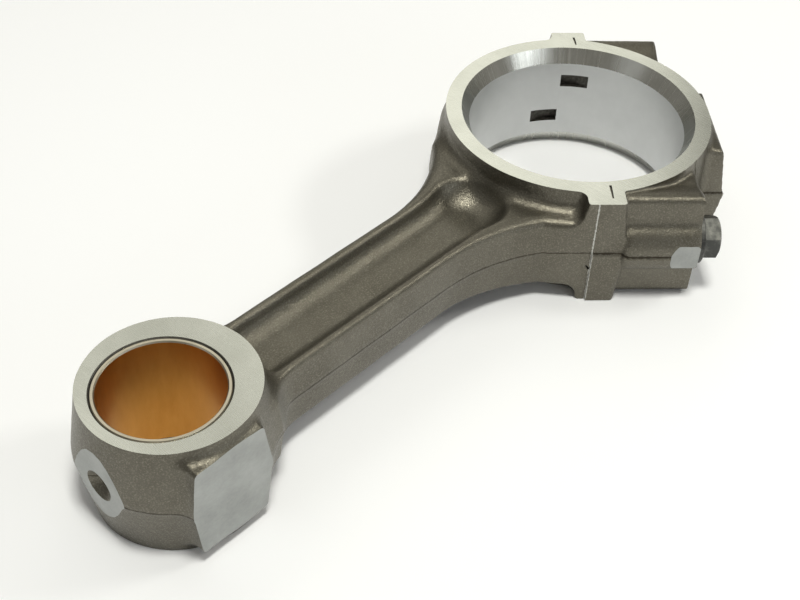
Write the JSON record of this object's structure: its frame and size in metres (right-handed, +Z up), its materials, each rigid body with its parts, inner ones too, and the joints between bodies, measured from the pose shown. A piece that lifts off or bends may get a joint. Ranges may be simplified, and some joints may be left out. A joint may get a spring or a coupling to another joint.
{
  "type": "engine connecting rod",
  "caption": "Forged engine connecting rod with a bushed pin end, an I-section beam and a big end split at an angle and closed by a bolted cap.",
  "frame": {"origin": "centre of the base of the overall box: the rod lies flat on its end faces, with its mid-plane at half the height", "axes": "+X from the pin end to the big end along the beam, +Z up through both bores"},
  "size_m": [0.386, 0.1652, 0.0574],
  "materials": {
    "rod_steel": "forged and shot blasted, with milled and turned faces",
    "cap_steel": "forged and shot blasted, with milled and turned faces",
    "bush_bronze": "honed bronze",
    "bolt_steel": "black oxide",
    "washer_steel": "black oxide"
  },
  "bodies": {
    "rod": {"rod_body": "rod_steel", "pin_bush": "bush_bronze"},
    "cap": {"rod_cap": "cap_steel"},
    "near_washer": {"washer_near": "washer_steel"},
    "near_bolt": {"cap_bolt_near": "bolt_steel"},
    "far_washer": {"washer_far": "washer_steel"},
    "far_bolt": {"cap_bolt_far": "bolt_steel"}
  },
  "joints": [
    {"name": "cap_slide", "type": "slide", "parent": "rod", "child": "cap", "axis": [0.7071, -0.7071, 0], "range_m": [0, 0.06]},
    {"name": "near_bolt_travel", "type": "slide", "parent": "cap", "child": "near_washer", "axis": [0.7071, -0.7071, 0], "range_m": [0, 0.027]},
    {"name": "near_bolt_turn", "type": "hinge", "parent": "near_washer", "child": "near_bolt", "pos_m": [0.09281, -0.06863, 0.0287], "axis": [0.7071, -0.7071, 0], "range_deg": [0, 6490]},
    {"name": "far_bolt_travel", "type": "slide", "parent": "cap", "child": "far_washer", "axis": [0.7071, -0.7071, 0], "range_m": [0, 0.027]},
    {"name": "far_bolt_turn", "type": "hinge", "parent": "far_washer", "child": "far_bolt", "pos_m": [0.17908, 0.01764, 0.0287], "axis": [0.7071, -0.7071, 0], "range_deg": [0, 6490]}
  ],
  "couplings": [
    {"joint": "near_bolt_turn", "follows": "near_bolt_travel", "rad_per_m": 4188.8},
    {"joint": "far_bolt_turn", "follows": "far_bolt_travel", "rad_per_m": 4188.8}
  ]
}
